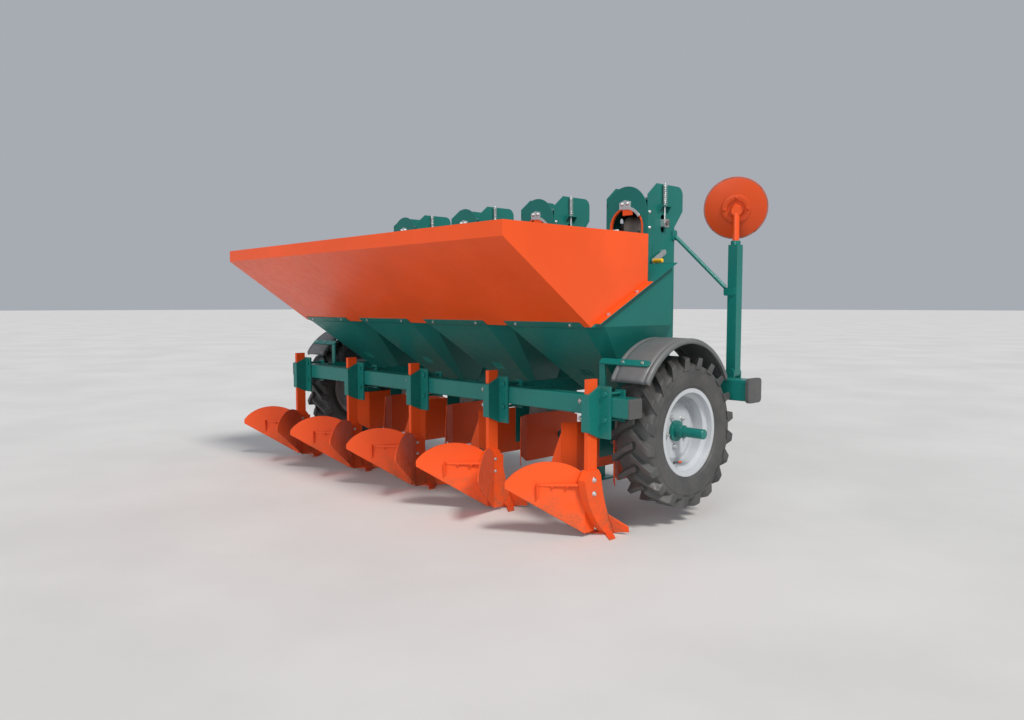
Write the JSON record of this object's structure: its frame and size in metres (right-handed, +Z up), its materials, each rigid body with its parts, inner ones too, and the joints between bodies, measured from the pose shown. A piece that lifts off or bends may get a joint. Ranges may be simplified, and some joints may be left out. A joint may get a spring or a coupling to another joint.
{
  "type": "potato planter",
  "caption": "Tractor-mounted potato planter with a full-width seed hopper, cup-belt elevators, furrow openers, ridging bodies, ground wheels and folding row markers.",
  "frame": {"origin": "middle of the footprint at floor level", "axes": "+X to the machine's right, +Y forward to the tractor, +Z up"},
  "size_m": [3.64, 1.8659, 1.932],
  "materials": {
    "green_paint": "gloss paint",
    "orange_paint": "gloss paint",
    "rim_paint": "silver paint",
    "black_plastic": "moulded",
    "zinc_steel": "zinc plated",
    "dark_steel": "bare steel",
    "belt_rubber": "moulded rubber",
    "tyre_rubber": "matte",
    "yellow_plastic": "moulded"
  },
  "bodies": {
    "frame": {"rear_bar": "green_paint", "front_bar": "green_paint", "frame_rails": "green_paint", "headstock": "green_paint", "parking_stands": "green_paint", "axle_hangers": "green_paint", "chain_cases": "green_paint", "hopper_throat": "green_paint", "seed_funnels": "green_paint", "elevator_cheeks": "green_paint", "elevator_arches": "green_paint", "elevator_ducts": "green_paint", "spring_seats": "green_paint", "marker_brackets": "green_paint", "marker_stays": "green_paint", "guard_brackets": "green_paint", "ridger_clamps": "green_paint", "clamp_straps": "green_paint", "hopper_shell": "orange_paint", "window_liners": "orange_paint", "furrow_openers": "orange_paint", "ridger_frogs": "orange_paint", "ridger_left_wings": "orange_paint", "ridger_right_wings": "orange_paint", "wing_struts": "orange_paint", "ridger_shanks": "orange_paint", "mudguards": "black_plastic", "bar_end_caps": "black_plastic", "hitch_pins": "zinc_steel", "flange_bolts": "zinc_steel", "clamp_bolts": "zinc_steel", "take_up_rods": "zinc_steel", "tension_springs": "zinc_steel", "cup_belts": "belt_rubber"},
    "wheel_left": {"wheel_axle_left": "green_paint", "rim_left": "rim_paint", "tyre_left": "tyre_rubber", "wheel_nuts_left": "zinc_steel"},
    "drive_left": {"drive_shaft_left": "dark_steel"},
    "upper_left": {"upper_pulleys_left": "dark_steel"},
    "marker_left": {"marker_mast_left": "green_paint", "marker_arm_left": "orange_paint"},
    "disc_left": {"marker_disc_left": "orange_paint"},
    "wheel_right": {"wheel_axle_right": "green_paint", "rim_right": "rim_paint", "tyre_right": "tyre_rubber", "wheel_nuts_right": "zinc_steel"},
    "drive_right": {"drive_shaft_right": "dark_steel"},
    "upper_right": {"upper_pulleys_right": "dark_steel"},
    "marker_right": {"marker_mast_right": "green_paint", "marker_arm_right": "orange_paint"},
    "disc_right": {"marker_disc_right": "orange_paint"},
    "lever_1": {"shaker_lever_1": "zinc_steel", "lever_grip_1": "yellow_plastic"},
    "lever_2": {"shaker_lever_2": "zinc_steel", "lever_grip_2": "yellow_plastic"},
    "lever_3": {"shaker_lever_3": "zinc_steel", "lever_grip_3": "yellow_plastic"},
    "lever_4": {"shaker_lever_4": "zinc_steel", "lever_grip_4": "yellow_plastic"}
  },
  "joints": [
    {"name": "wheel_spin_left", "type": "hinge", "parent": "frame", "child": "wheel_left", "pos_m": [-1.622, 0.199, 0.505], "axis": [1, 0, 0], "continuous": true},
    {"name": "drive_spin_left", "type": "hinge", "parent": "frame", "child": "drive_left", "pos_m": [-0.75, 0.437, 0.33], "axis": [1, 0, 0], "continuous": true},
    {"name": "upper_spin_left", "type": "hinge", "parent": "frame", "child": "upper_left", "pos_m": [-0.75, 0.517, 1.67], "axis": [1, 0, 0], "continuous": true},
    {"name": "marker_fold_left", "type": "hinge", "parent": "frame", "child": "marker_left", "pos_m": [-1.619, 0.7674, 0.788], "axis": [0, -1, 0], "range_deg": [0, 124]},
    {"name": "disc_spin_left", "type": "hinge", "parent": "marker_left", "child": "disc_left", "pos_m": [-1.619, 0.7674, 1.74], "axis": [0.5455, 0.7791, 0.309], "continuous": true},
    {"name": "wheel_spin_right", "type": "hinge", "parent": "frame", "child": "wheel_right", "pos_m": [1.622, 0.199, 0.505], "axis": [1, 0, 0], "continuous": true},
    {"name": "drive_spin_right", "type": "hinge", "parent": "frame", "child": "drive_right", "pos_m": [0.75, 0.437, 0.33], "axis": [1, 0, 0], "continuous": true},
    {"name": "upper_spin_right", "type": "hinge", "parent": "frame", "child": "upper_right", "pos_m": [0.75, 0.517, 1.67], "axis": [1, 0, 0], "continuous": true},
    {"name": "marker_fold_right", "type": "hinge", "parent": "frame", "child": "marker_right", "pos_m": [1.619, 0.7674, 0.788], "axis": [0, 1, 0], "range_deg": [0, 124]},
    {"name": "disc_spin_right", "type": "hinge", "parent": "marker_right", "child": "disc_right", "pos_m": [1.619, 0.7674, 1.74], "axis": [-0.5455, 0.7791, 0.309], "continuous": true},
    {"name": "lever_turn_1", "type": "hinge", "parent": "frame", "child": "lever_1", "pos_m": [-0.97, 0.517, 1.5], "axis": [1, 0, 0], "range_deg": [-50, 0]},
    {"name": "lever_turn_2", "type": "hinge", "parent": "frame", "child": "lever_2", "pos_m": [-0.22, 0.517, 1.5], "axis": [1, 0, 0], "range_deg": [-50, 0]},
    {"name": "lever_turn_3", "type": "hinge", "parent": "frame", "child": "lever_3", "pos_m": [0.53, 0.517, 1.5], "axis": [1, 0, 0], "range_deg": [-50, 0]},
    {"name": "lever_turn_4", "type": "hinge", "parent": "frame", "child": "lever_4", "pos_m": [1.28, 0.517, 1.5], "axis": [1, 0, 0], "range_deg": [-50, 0]}
  ],
  "couplings": [
    {"joint": "drive_spin_left", "follows": "wheel_spin_left", "ratio": 3.5},
    {"joint": "upper_spin_left", "follows": "wheel_spin_left", "ratio": 3.5},
    {"joint": "drive_spin_right", "follows": "wheel_spin_right", "ratio": 3.5},
    {"joint": "upper_spin_right", "follows": "wheel_spin_right", "ratio": 3.5}
  ]
}
